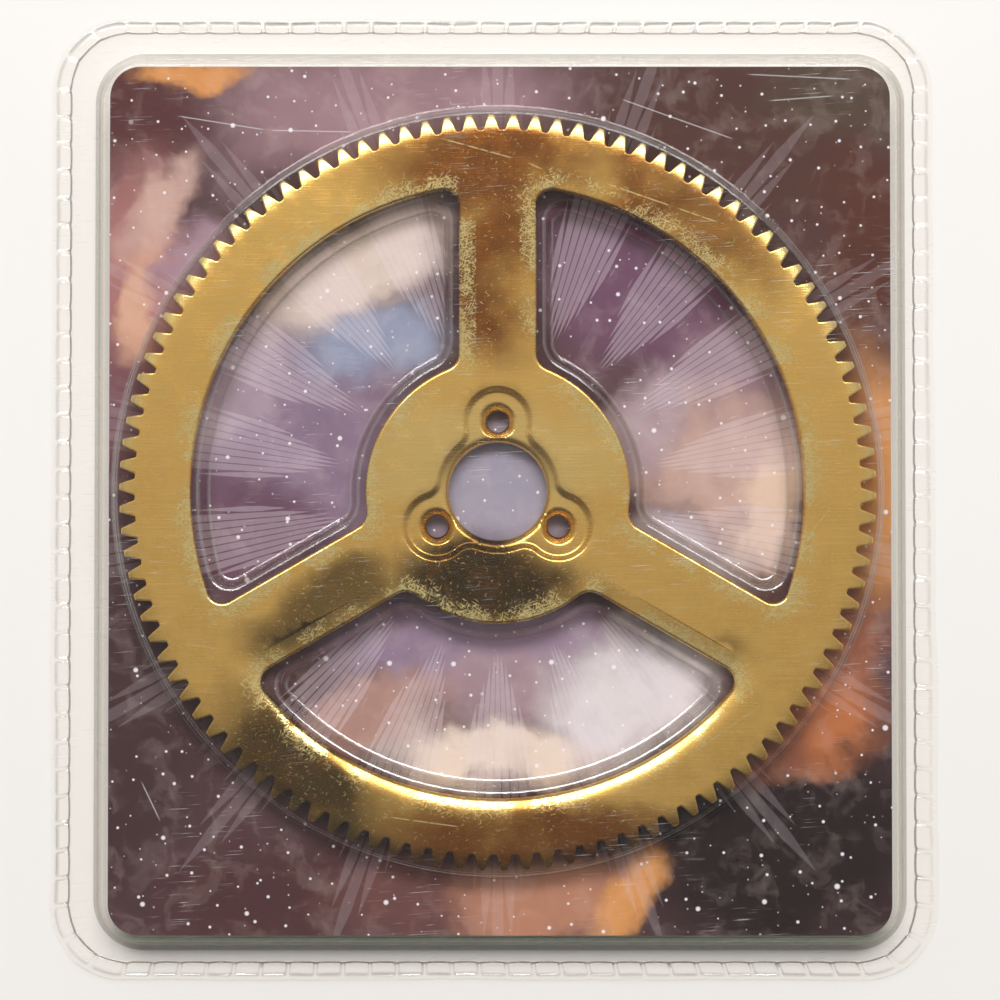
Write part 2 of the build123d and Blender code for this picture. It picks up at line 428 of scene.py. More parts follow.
# ---------------------------------------------------------------- gear wheel
def front_face(x, y):
    """Height of the front, which rolls off to the tooth tips and to the lowest window."""
    from_middle = hypot(x, y)
    past = max(0.0, from_middle - (TIP_RADIUS - RIM_ROLL_WIDTH))
    short = max(0.0, WINDOW_RADIUS + INNER_ROLL_WIDTH - from_middle)
    at_foot = smooth((-y / from_middle - 0.5) / 0.25) * smooth((from_middle - 30) / 3)
    drop = RIM_ROLL_DROP * (past / RIM_ROLL_WIDTH) ** 2
    return GEAR_THICKNESS - drop - at_foot * INNER_ROLL_DROP * (short / INNER_ROLL_WIDTH) ** 2


def recess_floor(x, y):
    """Height of the recess floor, which rounds into the bore and sinks at the screw holes."""
    inside = max(0.0, BORE_ROUND - (hypot(x, y) - BORE_RADIUS))
    drop = BORE_ROUND - sqrt(max(0.0, BORE_ROUND**2 - inside**2))
    for spoke in SPOKES:
        centre = polar(SCREW_CIRCLE_RADIUS, spoke)
        drop = max(drop, COUNTERSINK_RADIUS - hypot(x - centre[0], y - centre[1]))
    return GEAR_THICKNESS - RECESS_DEPTH - drop


def edge_rings(skin, outline_at, front_round, back_round, steps, apron=()):
    """Rings of a wall through the gear: back edge round, wall, front edge round, apron.

    outline_at gives the outline for a distance into the metal. A narrow flat strip beside
    each round keeps its shading clean."""
    stations = [(back_round + FLAT_STRIP, 0.0, False)]
    stations += [(offset, drop, False) for offset, drop in quarter_round(back_round, 2, False)]
    stations += [(offset, drop, True) for offset, drop in quarter_round(front_round, steps, True)]
    stations += [(front_round + reach, 0.0, True) for reach in (FLAT_STRIP, *apron)]
    made = []
    for offset, drop, at_front in stations:
        height = (lambda x, y, drop=drop: front_face(x, y) - drop) if at_front else drop
        made.append(skin.ring(outline_at(offset), height))
        if len(made) > 1:
            skin.bridge(made[-2], made[-1])
    return made[0], made[-1]


def gear_window(spoke):
    return window_outline(spoke, 0, WINDOW_RIM_CORNER, WINDOW_HUB_CORNER)


def make_gear():
    skin = Skin()
    floor = GEAR_THICKNESS - RECESS_DEPTH
    back, front = edge_rings(skin, teeth_outline, TEETH_FRONT_ROUND, TEETH_BACK_ROUND, 3)
    backs, fronts = [back], [front]
    for spoke in SPOKES:
        window = gear_window(spoke)[::-1]
        into_gear = -outward(window)
        outline_at = lambda inset, loop=window, into=into_gear: loop + into * inset
        rounds = (WINDOW_FRONT_ROUND, WINDOW_BACK_ROUND)
        back, front = edge_rings(skin, outline_at, *rounds, 6, WINDOW_APRON)
        backs.append(back)
        fronts.append(front)

    # Recess: its side eases down from the front to the floor
    recess = recess_outline()
    made = []
    for share in np.linspace(0, 1, RECESS_SIDE_RINGS):
        sunk = smooth(share)
        fall = lambda x, y, s=sunk: GEAR_THICKNESS - s * (GEAR_THICKNESS - recess_floor(x, y))
        offset = RECESS_SIDE * (1 / 3 - share)
        made.append(skin.ring(recess + outward(recess) * offset, fall))
        if share > 0:
            skin.bridge(made[-2], made[-1])
    fronts.append(made[0])
    floors = [made[-1]]

    # Bore and screw holes, from the recess floor down to the back
    bore = circle(BORE_RADIUS, count=144)
    holes = [(bore, floor - BORE_ROUND)]
    for spoke in SPOKES:
        hole = circle(SCREW_HOLE_RADIUS, polar(SCREW_CIRCLE_RADIUS, spoke), count=48)
        holes.append((hole, floor - COUNTERSINK_RADIUS + SCREW_HOLE_RADIUS - FLAT_STRIP))
    for hole, wall_top in holes:
        wall = [(0.02, recess_floor), (0, wall_top), (0, HOLE_BACK_ROUND)]
        wall += [(HOLE_BACK_ROUND, 0.0), (HOLE_BACK_ROUND + FLAT_STRIP, 0.0)]
        made = skin.rings(hole, wall)
        floors.append(made[0])
        backs.append(made[-1])
    skin.cap(fronts, front_face, spacing=0.8)
    skin.cap(floors, recess_floor, spacing=0.2)
    skin.cap(backs, 0.0, up=False)
    return skin.build("gear_wheel_brass")


# ---------------------------------------------------------------- clear shells
def tray_loop(grow):
    """The tray's outline over the card, moved out by grow."""
    return rounded_rectangle(
        CARD_WIDTH + 2 * (TRAY_CLEARANCE + grow),
        CARD_HEIGHT + 2 * (TRAY_CLEARANCE + grow),
        TRAY_CORNER + grow,
        CARD_CENTRE,
        turn=12,
        across=30,
        up=30,
    )


def bend_profile(corner, before, after, radius, steps=5):
    """Points of a bend that rounds a corner of a (reach, height) profile."""
    corner, before, after = (np.array(p, float) for p in (corner, before, after))
    back = (before - corner) / np.linalg.norm(before - corner)
    ahead = (after - corner) / np.linalg.norm(after - corner)
    half = acos(float(np.clip(back @ ahead, -1, 1))) / 2
    inward = (back + ahead) / np.linalg.norm(back + ahead)
    middle = corner + inward * radius / sin(half)
    start = corner + back * radius / tan(half)
    end = corner + ahead * radius / tan(half)
    from_angle = atan2(*(start - middle)[::-1])
    turn = atan2(*(end - middle)[::-1]) - from_angle
    turn = (turn + pi) % WHOLE_TURN - pi
    angles = np.linspace(from_angle, from_angle + turn, steps + 1)
    return [tuple(middle + polar(radius, angle)) for angle in angles]


def wall_profile(foot, head, foot_radius, head_radius):
    """(reach, height) stations of a formed wall from a flat, up or down to a flat.

    A narrow margin of each flat comes with it."""
    inward = 1 if head[0] < foot[0] else -1
    before = (foot[0] + inward, foot[1])
    after = (head[0] - inward, head[1])
    margin = 0.12 * inward
    points = bend_profile(foot, before, head, foot_radius)
    points += bend_profile(head, foot, after, head_radius)
    first = (points[0][0] + margin, points[0][1])
    last = (points[-1][0] - margin, points[-1][1])
    return [first] + points + [last]


def flange_loop(width, height, radius, centre):
    return rounded_rectangle(
        width,
        height,
        radius,
        centre,
        turn=CRIMPS_TURN * CRIMP_STEPS,
        across=CRIMPS_ACROSS * CRIMP_STEPS,
        up=CRIMPS_ALONG * CRIMP_STEPS,
    )


def crimp_depth(step, across, seed):
    """How far a crimp sinks in at a step along the seal and a share of the way across it.

    Crimps vary a little. The sheet stays partly sunk between two of them, drops sharply
    at their inner side and slopes down from the outer side."""
    crimp = step // CRIMP_STEPS
    along = (step % CRIMP_STEPS) / CRIMP_STEPS
    varied = noise.noise(Vector((crimp * 0.73, seed, 0.5)))
    from_middle = 2 * abs(along - 0.5 + 0.05 * varied)
    left_between = 0.45
    end = left_between + (1 - left_between) * smooth((0.96 - from_middle) / 0.16)
    inner_side = smooth((0.97 - across - 0.06 * from_middle**4) / 0.1)
    outer_side = smooth((across - 0.04 * varied) / 0.45)
    return CRIMP_DEPTH * (1 + 0.2 * varied) * end * inner_side * outer_side


def seal_strip(skin, level, press, seed):
    """The crimped flange, from its slightly uneven edge in to the crimps' inner line.

    press is -1 where crimps sink down and 1 where they sink up."""
    outer = flange_loop(FLANGE_WIDTH, FLANGE_HEIGHT, FLANGE_CORNER, FLANGE_CENTRE)
    inside = flange_loop(
        CRIMP_LINE_WIDTH - CRIMP_WIDTH,
        CRIMP_LINE_HEIGHT - CRIMP_WIDTH,
        CRIMP_CORNER - CRIMP_WIDTH / 2,
        CRIMP_CENTRE,
    )
    slow = np.array([noise.noise(Vector((x * 0.09, y * 0.09, seed))) for x, y in outer])
    quick = np.array([noise.noise(Vector((x * 0.35, y * 0.35, seed + 3))) for x, y in outer])
    upper_right = np.array([smooth((x - 44) / 5) * smooth((y + 40) / 80) for x, y in outer])
    trimmed = np.maximum(0.1 + 0.3 * slow + 0.14 * quick + 0.5 * upper_right, 0)
    outer = outer - outward(outer) * trimmed[:, None]
    edge = skin.ring(outer, level)
    outside = outer + (inside - outer) * CRIMP_EDGE
    for across in CRIMP_RINGS:
        ring = skin.ring(outside + (inside - outside) * across, level)
        skin.bridge(edge, ring)
        edge = ring
        for step, index in enumerate(ring):
            skin.pressed[index] = press * crimp_depth(step, across, seed)
    return edge


def uneven(level, side):
    """Height of a formed flat area, which waves a little to one side of its level."""

    def height(x, y):
        wave = 1 + noise.noise(Vector((x * 0.08, y * 0.08, level)))
        return level + side * FLAT_WAVE * wave

    return height


def make_front_shell():
    """The front sheet's top side from the flange inwards, thickened towards the back."""
    skin = Skin()
    crimp_edge = seal_strip(skin, FLANGE_TOP, press=-1, seed=4.0)
    corner_reach = SHEET * (1 - tan(TRAY_DRAFT))
    foot_reach = corner_reach + (PLATEAU_TOP - FLANGE_TOP) * tan(TRAY_DRAFT)
    base = tray_loop(0)
    wall = wall_profile((foot_reach, FLANGE_TOP), (corner_reach, PLATEAU_TOP), BEND, BEND + SHEET)
    tray = skin.rings(base, wall)
    skin.cap([crimp_edge, tray[0]], FLANGE_TOP)

    rise = DOME_TOP - PLATEAU_TOP
    base = circle(DOME_RADIUS, count=288)
    foot_reach = SHEET + rise * tan(DOME_DRAFT)
    wall = wall_profile((foot_reach, PLATEAU_TOP), (SHEET, DOME_TOP), BEND, BEND + SHEET)
    dome = skin.rings(base, wall)
    skin.cap([tray[-1], dome[0]], uneven(PLATEAU_TOP, 1), spacing=FLAT_SPACING)

    mouths = []
    for spoke in SPOKES:
        inset = POCKET_INSET + SHEET
        floor_edge = window_outline(spoke, inset, POCKET_RIM_CORNER, POCKET_HUB_CORNER)
        mouth_reach = rise * tan(POCKET_DRAFT)
        wall = wall_profile((mouth_reach, DOME_TOP), (0, PLATEAU_TOP), BEND + SHEET, BEND)
        pocket = skin.rings(floor_edge, wall)
        skin.cap([pocket[-1]], uneven(PLATEAU_TOP, 1), spacing=FLAT_SPACING)
        mouths.append(pocket[0])
    skin.cap([dome[-1]] + mouths, uneven(DOME_TOP, -1), spacing=FLAT_SPACING)
    return skin.build("front_shell_clear", -SHEET)


def make_rear_shell():
    """The rear sheet's back from the flange inwards, thickened towards the card."""
    skin = Skin()
    flange = rear_low.z
    plateau = rear_high.z - SHEET
    crimp_edge = seal_strip(skin, flange, press=1, seed=9.0)
    base = tray_loop(-NEST_GAP - SHEET)
    front_under = PLATEAU_TOP - SHEET
    foot_reach = (front_under - flange) * tan(TRAY_DRAFT)
    corner_reach = (front_under - plateau) * tan(TRAY_DRAFT)
    wall = wall_profile((foot_reach, flange), (corner_reach, plateau), BEND + SHEET, BEND)
    tray = skin.rings(base, wall)
    skin.cap([crimp_edge, tray[0]], flange)
    skin.cap([tray[-1]], uneven(plateau, -1), spacing=FLAT_SPACING)
    return skin.build("rear_shell_clear", SHEET)


# ---------------------------------------------------------------- shader building
class Term:
    """A number in a shader. Arithmetic on it adds nodes."""

    def __init__(self, shader, socket):
        self.shader = shader
        self.socket = socket

    def calc(self, operation, *others):
        """The result of a Math node's operation on this term and any others."""
        return self.shader.math(operation, self, *others)

    def __add__(self, other):
        return self.calc("ADD", other)

    def __sub__(self, other):
        return self.calc("SUBTRACT", other)

    def __rsub__(self, other):
        return self.shader.math("SUBTRACT", other, self)

    def __mul__(self, other):
        return self.calc("MULTIPLY", other)

    def __truediv__(self, other):
        return self.calc("DIVIDE", other)

    def __abs__(self):
        return self.calc("ABSOLUTE")

    __radd__ = __add__

    def power(self, exponent):
        return self.calc("POWER", exponent)

    def most(self, other):
        return self.calc("MAXIMUM", other)

    def step(self, low, high):
        """Eases from 0 at low to 1 at high, or the other way round if low is higher."""
        ends = {"Value": self, "From Min": low, "From Max": high}
        node = self.shader.node(
            "ShaderNodeMapRange", ends, interpolation_type="SMOOTHSTEP", clamp=True
        )
        return Term(self.shader, node.outputs["Result"])


class Shader:
    """A node tree under construction. Inputs are plain values, sockets or terms."""

    def __init__(self, owner):
        owner.use_nodes = True
        self.tree = owner.node_tree
        self.tree.nodes.clear()

    def node(self, kind, inputs=(), **settings):
        """A new node. Inputs are keyed by socket name or number."""
        made = self.tree.nodes.new(kind)
        for key, value in settings.items():
            setattr(made, key, value)
        for key, value in dict(inputs).items():
            value = value.socket if isinstance(value, Term) else value
            if isinstance(value, bpy.types.NodeSocket):
                self.tree.links.new(value, made.inputs[key])
            else:
                made.inputs[key].default_value = value
        return made

    def math(self, operation, *values):
        node = self.node("ShaderNodeMath", enumerate(values), operation=operation)
        return Term(self, node.outputs[0])

    def place(self):
        """The point on the piece in the frame's millimetres."""
        coordinates = self.node("ShaderNodeTexCoord").outputs["Object"]
        scaled = {0: coordinates, "Scale": 1 / MM}
        return self.node("ShaderNodeVectorMath", scaled, operation="SCALE").outputs[0]

    def split(self, vector):
        parts = self.node("ShaderNodeSeparateXYZ", {0: vector})
        return [Term(self, output) for output in parts.outputs]

    def moved(self, place, centre=(0, 0), turn=0.0, reach=(1, 1)):
        """The place seen from a centre, turned back and measured in units of reach."""
        inputs = {
            "Vector": place,
            "Location": (*centre, 0),
            "Rotation": (0, 0, turn),
            "Scale": (*reach, max(reach)),
        }
        return self.node("ShaderNodeMapping", inputs, vector_type="TEXTURE").outputs[0]

    def length(self, vector):
        node = self.node("ShaderNodeVectorMath", {0: vector}, operation="LENGTH")
        return Term(self, node.outputs["Value"])

    def noise_node(self, place, size, detail=2.0, roughness=0.5):
        inputs = {"Vector": place, "Scale": 1 / size, "Detail": detail, "Roughness": roughness}
        return self.node("ShaderNodeTexNoise", inputs, noise_dimensions="2D")

    def noise(self, place, size, *settings):
        """Noise with lumps of a size in millimetres; settings are its detail and roughness."""
        return Term(self, self.noise_node(place, size, *settings).outputs["Fac"])

    def warped(self, place, size, amount, detail=3.0):
        """The place pushed about by up to an amount, by noise of a size, in millimetres."""
        shift = self.noise_node(place, size, detail).outputs["Color"]
        inputs = {0: shift, 1: (0.5, 0.5, 0.5)}
        centred = self.node("ShaderNodeVectorMath", inputs, operation="SUBTRACT").outputs[0]
        inputs = {0: centred, 1: (2 * amount, 2 * amount, 0), 2: place}
        return self.node("ShaderNodeVectorMath", inputs, operation="MULTIPLY_ADD").outputs[0]

    def streaks(self, place, turn, length, width, detail=2.0):
        """Noise drawn out along a direction."""
        return self.noise(self.moved(place, turn=turn, reach=(length, width)), 1.0, detail)

    def line(self, place, start, end, width):
        """1 on a straight scratch between two points, fading out to its width."""
        start, end = np.array(start), np.array(end)
        along = end - start
        length = np.linalg.norm(along)
        turn = atan2(along[1], along[0])
        x, y, _ = self.split(self.moved(place, tuple((start + end) / 2), turn))
        ends = abs(x).step(length / 2, length / 2 - 1.2)
        return ends * abs(y).step(width, width * 0.3)

    def mix(self, share, first, second):
        """A colour between two. The Mix node's sockets 6, 7 and 2 are its colours."""
        return self.node("ShaderNodeMix", {0: share, 6: first, 7: second}, data_type="RGBA").outputs[2]

    def layered(self, share, below, above):
        """A surface between two."""
        return self.node("ShaderNodeMixShader", {0: share, 1: below, 2: above}).outputs[0]

    def bump(self, height, distance, strength):
        """Bump from a height term, its distance in millimetres."""
        inputs = {"Height": height, "Distance": distance * MM, "Strength": strength}
        return self.node("ShaderNodeBump", inputs).outputs["Normal"]

    def finish(self, shader):
        self.node("ShaderNodeOutputMaterial", {"Surface": shader})


def highest(terms):
    """The highest of some terms at each point."""
    return reduce(Term.most, terms)


def tone(red, green, blue):
    """A screen colour, 0 to 255, as the linear colour that shaders take."""
    parts = np.array((red, green, blue)) / 255
    linear = np.where(parts <= 0.04045, parts / 12.92, ((parts + 0.055) / 1.055) ** 2.4)
    return (*linear.tolist(), 1.0)


# ---------------------------------------------------------------- brass
GOLD = tone(248, 200, 106)
BROWN = tone(142, 84, 26)
OLIVE = tone(56, 40, 16)
# Pale worn metal, also used for the painted highlight
WEAR_AND_HIGHLIGHT = tone(250, 228, 156)

# Short scuffs: turn, length, width
SCUFFS = ((0.35, 0.9, 0.16), (1.25, 0.8, 0.14), (-0.6, 1.1, 0.17))

# Long scratches on the gear's face: start, end
SCRATCH_WIDTH = 0.11
SCRATCHES = (
    ((-6.7, 40.4), (2.0, 38.0)),
    ((3.3, 37.6), (5.5, 36.6)),
    ((12.0, 35.3), (25.5, 30.6)),
    ((-27.0, 27.6), (-20.2, 31.4)),
    ((5.0, 11.6), (10.2, 12.9)),
    ((-36.0, -17.3), (-31.5, -18.0)),
    ((22.6, -29.5), (30.0, -24.3)),
    ((-13.4, -36.9), (-4.0, -38.2)),
    ((35.4, -5.0), (38.1, -1.7)),
)


def brass_material():
    material = bpy.data.materials.new("worn_brass")
    shader = Shader(material)
    place = shader.place()
    x, y, _ = shader.split(place)
    cloud = shader.warped(place, 9.0, 3.5)

    def patch(centre, turn, reach, edge=0.55):
        return shader.length(shader.moved(cloud, centre, turn, reach)).step(1.0, edge)

    # Partly tarnish, partly painted reflection of dark surroundings in the flat face: browner over
    # the top of the rim, the top spoke and the foot of the rim, darker on the lower half of the hub
    # and down the left spoke
    top = patch((7.0, 36.5), -0.1, (33.0, 11.0), 0.4).most(patch((0, 25), 0, (6.5, 14), 0.5))
    top = top.most(patch((24.5, 30.5), -0.85, (14.0, 6.5), 0.3) * 0.8)
    foot = patch((3.0, -39.5), 0.05, (24.0, 6.0), 0.4)
    brown = (top.most(foot)) * shader.noise(place, 14.0, 3.0).step(0.1, 0.52)
    dark = patch((-2.0, -10.5), 0.0, (14.5, 7.5), 0.5)
    dark = dark.most(patch((-20.0, -13.0), 0.52, (13.0, 4.6), 0.4) * 0.8)
    dark = dark.most(patch((-22.0, -32.0), -0.7, (17.0, 6.5), 0.4) * 0.95)
    colour = shader.mix(brown, GOLD, BROWN)
    colour = shader.mix(dark * 0.97, colour, OLIVE)
    blotch = shader.noise(place, 3.2, 4.0, 0.6).step(0.35, 0.75)
    colour = shader.mix(blotch * 0.22, colour, BROWN)

    # Painted highlight: paler over the middle of the hub, and over the tooth tips more towards the
    # top, where the light from +Y is mirrored
    pale = patch((0.0, 4.0), 0.0, (19.0, 8.0), 0.5) * 0.35
    crown = (x * x + y * y).power(0.5).step(ROOT_RADIUS - 0.3, TIP_RADIUS) * y.step(-25.0, 25.0)
    colour = shader.mix(pale.most(crown), colour, WEAR_AND_HIGHLIGHT)

    # Wear: short scuffs that gather along the edges of the windows, and long scratches
    edge = Term(shader, shader.node("ShaderNodeAttribute", attribute_name="edge").outputs["Fac"])
    where = shader.noise(place, 5.0, 2.0).step(0.34, 0.56)
    near = edge.step(3.4, 0.4) * where

    def scuff(turn, length, width):
        marks = shader.streaks(place, turn, length, width, 3.0)
        return marks.step(0.7 - near * 0.2, 0.78 - near * 0.18)

    scuffs = highest(scuff(*size) for size in SCUFFS)
    spots = shader.noise(place, 0.55, 3.0, 0.7).step(0.6, 0.68) * near
    scratches = highest(shader.line(place, *ends, SCRATCH_WIDTH) for ends in SCRATCHES)
    worn = scuffs.most(spots) * 0.95
    worn = worn.most(scratches * shader.noise(place, 0.8).step(0.3, 0.5) * 0.8)
    colour = shader.mix(worn, colour, WEAR_AND_HIGHLIGHT)

    # Brushed grain along X, a finer one across it, and slow dents
    grain = shader.streaks(place, 0.0, 6.0, 0.09)
    fine = shader.streaks(place, 1.45, 3.0, 0.07)
    colour = shader.mix((grain - 0.5) * 0.4 + 0.15, colour, OLIVE)
    roughness = 0.21 + (grain - 0.5) * 0.16 + blotch * 0.08 - worn * 0.06
    dents = shader.noise(place, 7.0, 1.0)
    normal = shader.bump(grain + fine * 0.6 + dents * 8, 0.012, 0.5)
    inputs = {"Base Color": colour, "Metallic": 1.0, "Roughness": roughness, "Normal": normal}
    shader.finish(shader.node("ShaderNodeBsdfPrincipled", inputs).outputs[0])
    return material


# ---------------------------------------------------------------- printed card
CARD_BASE = (100, 76, 78)

# Colour clouds of the print: centre, turn, reach, colour, strength
CLOUDS = (
    ((-12, 44), 0.0, (26, 12), (164, 132, 138), 0.95),
    ((28, 40), -0.3, (24, 15), (92, 64, 58), 0.95),
    ((40, 46), 0.0, (10, 8), (92, 78, 66), 0.8),
    ((43, 28), 0.0, (9, 14), (96, 60, 50), 0.9),
    ((-42, 44), 0.6, (9, 11), (98, 62, 62), 0.97),
    ((-35, 49), 0.0, (8, 2.4), (226, 158, 96), 0.95),
    ((-42, 24), 0.0, (9, 17), (180, 126, 122), 0.95),
    ((-43, 8), 0.0, (6, 14), (122, 82, 90), 0.9),
    ((-38.5, 33), 1.0, (9, 4), (212, 176, 164), 0.9),
    ((-41, 22), 1.2, (8, 2.6), (226, 178, 150), 0.85),
    ((-34, 27), 0.8, (7, 4.5), (176, 146, 160), 0.9),
    ((-44, -28), 0.0, (14, 28), (80, 60, 62), 0.96),
    ((-26, -46), 0.1, (18, 8), (90, 62, 62), 0.95),
    ((-10, -46), 0.1, (11, 7), (122, 84, 80), 0.9),
    ((34, -40), 0.2, (26, 18), (54, 42, 34), 0.98),
    ((43, 2), 0.0, (8, 18), (212, 150, 92), 0.95),
    ((38, -20), 1.2, (12, 6), (176, 112, 82), 0.9),
    ((37, -27), 0.5, (9, 5.5), (196, 122, 80), 0.95),
    ((29, -30), 0.2, (9, 4), (150, 96, 76), 0.8),
    ((5, -47), 0.05, (12, 7), (196, 140, 114), 0.95),
    ((15, -46), 1.1, (8, 3.6), (232, 164, 102), 0.9),
    ((-22, 2), 0.2, (20, 22), (146, 124, 146), 0.97),
    ((-27, -5), 0.0, (12, 9), (110, 78, 94), 0.9),
    ((-17, 26), 0.6, (16, 7), (234, 214, 203), 0.95),
    ((-14, 17), 0.3, (10, 6), (158, 164, 188), 0.95),
    ((-30, 12), 0.9, (11, 5), (186, 166, 178), 0.7),
    ((0, 0), 0.0, (12, 10), (172, 166, 184), 0.95),
    ((15, 23), -0.5, (17, 12), (120, 86, 108), 0.95),
    ((27, 12), 0.9, (10, 9), (160, 130, 142), 0.8),
    ((26, 3), 0.1, (13, 9), (206, 172, 160), 0.95),
    ((31, -2), 1.3, (9, 5), (236, 206, 184), 0.9),
    ((16, 7), 0.9, (9, 5), (188, 164, 172), 0.85),
    ((22, -8), -0.5, (9, 5), (206, 194, 202), 0.8),
    ((-4, -18), 0.0, (18, 7), (158, 136, 158), 0.95),
    ((4, -16), 0.0, (8, 5), (166, 142, 162), 0.8),
    ((0, -22.5), 0.0, (10, 5), (176, 148, 156), 0.9),
    ((-15, -26), 0.3, (12, 5), (186, 146, 136), 0.95),
    ((16, -23), 0.3, (13, 9), (236, 226, 228), 0.95),
    ((0, -30), 0.0, (16, 4.5), (250, 228, 212), 0.9),
)

# Fans of stripes: each starts at an apex and covers numbers -5 to 5. The middle stripe
# starts nearest and ends farthest out.
WEDGES = 18
WEDGE_APEX = 7.8
STRIPE_PITCH = radians(2.09)
STRIPE_SHARE = 0.42
STRIPE_START = 10.5
STRIPE_END = 49.2
STRIPES_ASIDE = 5

# How much of the shown colour the clear sheet above the print adds by itself
SHEET_VEIL = 0.022


def ray_stripes(shader, x, y):
    """Fans of thin pointed stripes round the middle of the card."""
    step = WHOLE_TURN / WEDGES
    around = shader.math("ARCTAN2", x, y) / step
    local = (around - around.calc("ROUND")) * step
    reach = (x * x + y * y).power(0.5)
    ahead = reach * local.calc("COSINE") - WEDGE_APEX
    aside = reach * local.calc("SINE")
    fan = shader.math("ARCTAN2", aside, ahead) / STRIPE_PITCH
    number = fan.calc("ROUND")
    distance = (ahead * ahead + aside * aside).power(0.5)
    start = number * number * 0.38 + STRIPE_START
    end = STRIPE_END - abs(number) * 5.5
    grow = shader.math("MINIMUM", (distance - start) / 3.0, (end - distance) / 6.0)
    width = shader.math("MINIMUM", grow.most(0.0), 1.0) * STRIPE_SHARE
    off_line = abs(fan - number)
    shown = (off_line - width).step(0.03, -0.03)
    in_fan = abs(number).step(STRIPES_ASIDE + 0.4, STRIPES_ASIDE + 0.3)
    return shown * in_fan * width.step(0.0, 0.02)


def stars(shader, place, spacing, radius, share):
    """Round dots, one at most in each cell of a grid, of uneven size."""
    inputs = {"Vector": place, "Scale": 1 / spacing, "Randomness": 1.0}
    cells = shader.node("ShaderNodeTexVoronoi", inputs, voronoi_dimensions="2D")
    distance = Term(shader, cells.outputs["Distance"])
    lot, size, _ = shader.split(cells.outputs["Color"])
    reach = (size * 0.7 + 0.55) * (radius / spacing)
    return distance.step(reach, reach * 0.45) * lot.step(1 - share - 0.01, 1 - share + 0.01)


def ink(red, green, blue):
    """The print's own colour, for a screen colour as it looks under the clear sheet."""
    seen = tone(red, green, blue)[:3]
    return (*(max(0.004, (part - SHEET_VEIL) * 0.98) for part in seen), 1.0)


def card_material():
    material = bpy.data.materials.new("printed_board")
    shader = Shader(material)
    place = shader.place()
    x, y, z = shader.split(place)
    swirled = shader.warped(shader.warped(place, 12.0, 4.5, 4.0), 3.2, 1.5, 4.0)
    wisps = shader.noise(shader.warped(place, 5.0, 3.0), 4.5, 6.0, 0.62)

    colour = ink(*CARD_BASE)
    for centre, turn, reach, cloud, strength in CLOUDS:
        inside = shader.length(shader.moved(swirled, centre, turn, reach)).step(1.1, 0.4)
        colour = shader.mix(inside * strength, colour, ink(*cloud))
    shade = (wisps - 0.5) * 0.45
    colour = shader.mix(shade.most(0.0), colour, tone(240, 222, 214))
    colour = shader.mix((0 - shade).most(0.0), colour, tone(46, 36, 48))

    beyond = (x * x + y * y).power(0.5).step(36.0, 42.0)
    stripes = ray_stripes(shader, x, y) * (0.22 - beyond * 0.13)
    colour = shader.mix(stripes, colour, tone(236, 222, 232))
    dots = stars(shader, place, 2.9, 0.2, 0.62).most(stars(shader, place, 9.0, 0.34, 0.7))
    dots = dots.most(stars(shader, place, 1.7, 0.11, 0.25) * 0.6)
    colour = shader.mix(dots * 0.92, colour, tone(246, 240, 246))

    # The board itself shows on the edges and the back
    fibres = shader.noise(place, 0.5, 4.0)
    board = shader.mix(fibres, tone(226, 222, 214), tone(206, 201, 192))
    printed = z.step(-0.02, -0.01)
    colour = shader.mix(printed, board, colour)
    inputs = {
        "Base Color": colour,
        "Roughness": 0.62 - printed * 0.1,
        "Specular IOR Level": 0.1,
        "Normal": shader.bump(fibres, 0.01, 0.3),
    }
    shader.finish(shader.node("ShaderNodeBsdfPrincipled", inputs).outputs[0])
    return material


# ---------------------------------------------------------------- clear sheet
# Hairline scratches on the plateaus: start, end
SHEET_SCRATCH_WIDTH = 0.09
SHEET_SCRATCHES = (
    ((-37.2, 43.4), (-26.5, 41.7)),
    ((-26.5, 41.7), (-16.4, 41.5)),
    ((14.0, 45.4), (27.4, 40.6)),
    ((28.5, 48.2), (41.0, 47.6)),
    ((31.0, 45.1), (39.0, 45.7)),
    ((-41.0, -33.0), (-38.6, -38.0)),
)


